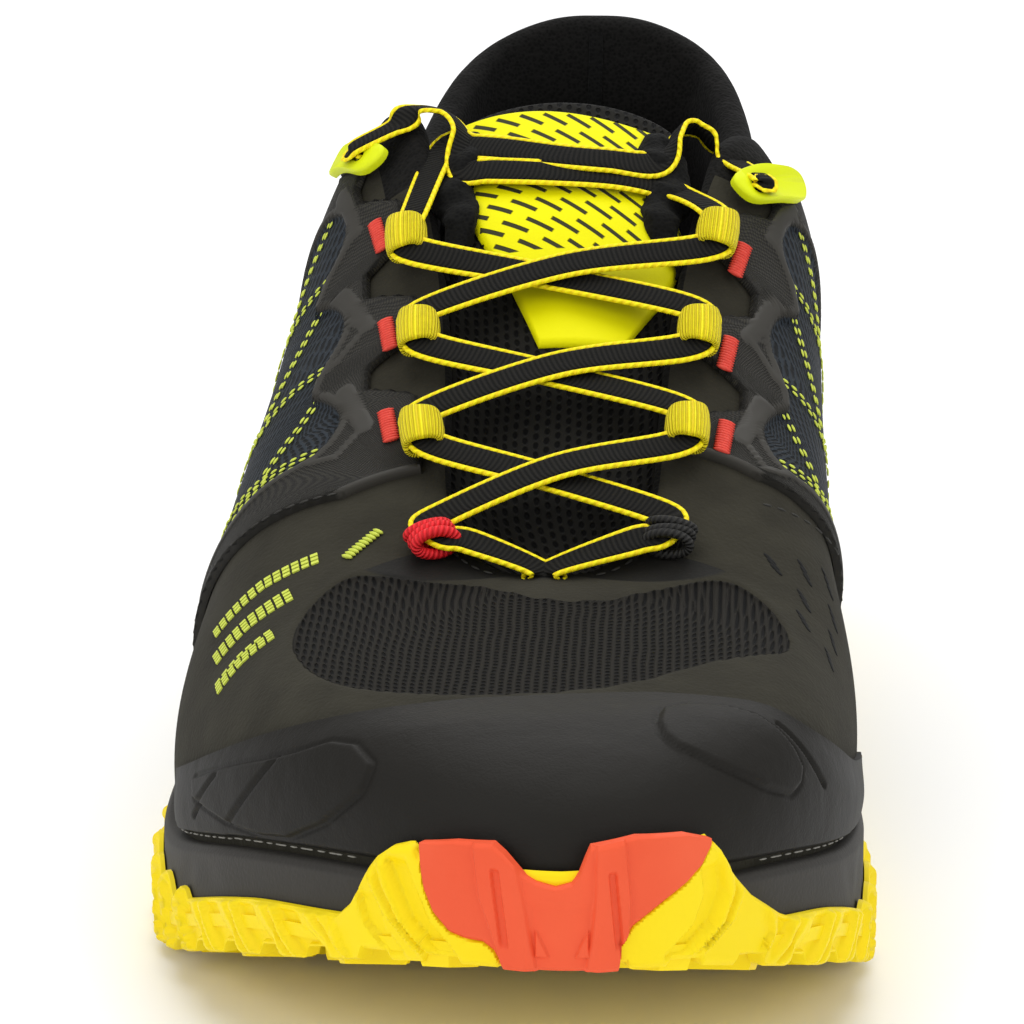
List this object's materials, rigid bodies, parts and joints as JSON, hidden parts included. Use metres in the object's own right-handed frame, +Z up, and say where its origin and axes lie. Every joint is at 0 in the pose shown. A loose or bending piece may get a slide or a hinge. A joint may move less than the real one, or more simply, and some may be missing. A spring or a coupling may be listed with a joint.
{
  "type": "trail running shoe",
  "caption": "Right-foot trail running shoe with lugged cupped outsole, rubber toe cap, midfoot cage, webbing lace loops and padded collar",
  "frame": {"origin": "floor level below the middle of the shoe's outline, the soles' flat lugs on Z = 0", "axes": "+Z up; the toe points along -Y and the heel along +Y; +X is the big-toe side"},
  "size_m": [0.1094, 0.29, 0.1145],
  "materials": {
    "outsole_yellow": "matte moulded rubber",
    "outsole_red": "matte moulded rubber",
    "midsole_foam": "matte moulded foam",
    "insole_fabric": "short-pile fabric over foam",
    "upper_fabric": "knitted mesh and microfibre",
    "tongue_fabric": "padded mesh",
    "neon_plastic": "matte moulded plastic",
    "cap_rubber": "smooth matte rubber",
    "cage_fabric": "coated woven fabric",
    "webbing": "ribbed webbing",
    "red_cord": "braided cord",
    "lace_fabric": "flat woven lace"
  },
  "bodies": {
    "root": {"outsole": "outsole_yellow", "outsole_toe": "outsole_red", "midsole": "midsole_foam", "insole": "insole_fabric", "upper": "upper_fabric", "tongue": "tongue_fabric", "tongue_plate": "neon_plastic", "toe_cap": "cap_rubber", "cage_lateral": "cage_fabric", "cage_medial": "cage_fabric", "heel_counter": "cap_rubber", "lace_loop_lateral_1": "webbing", "lace_loop_lateral_2": "webbing", "lace_loop_lateral_3": "webbing", "lace_loop_medial_1": "webbing", "lace_loop_medial_2": "webbing", "lace_loop_medial_3": "webbing", "cord_loop_lateral": "red_cord", "cord_loop_medial": "lace_fabric", "top_hook_lateral": "neon_plastic", "top_hook_medial": "neon_plastic", "lace_crossing_1": "lace_fabric", "lace_crossing_2": "lace_fabric", "lace_crossing_3": "lace_fabric", "lace_crossing_4": "lace_fabric"}
  },
  "joints": []
}
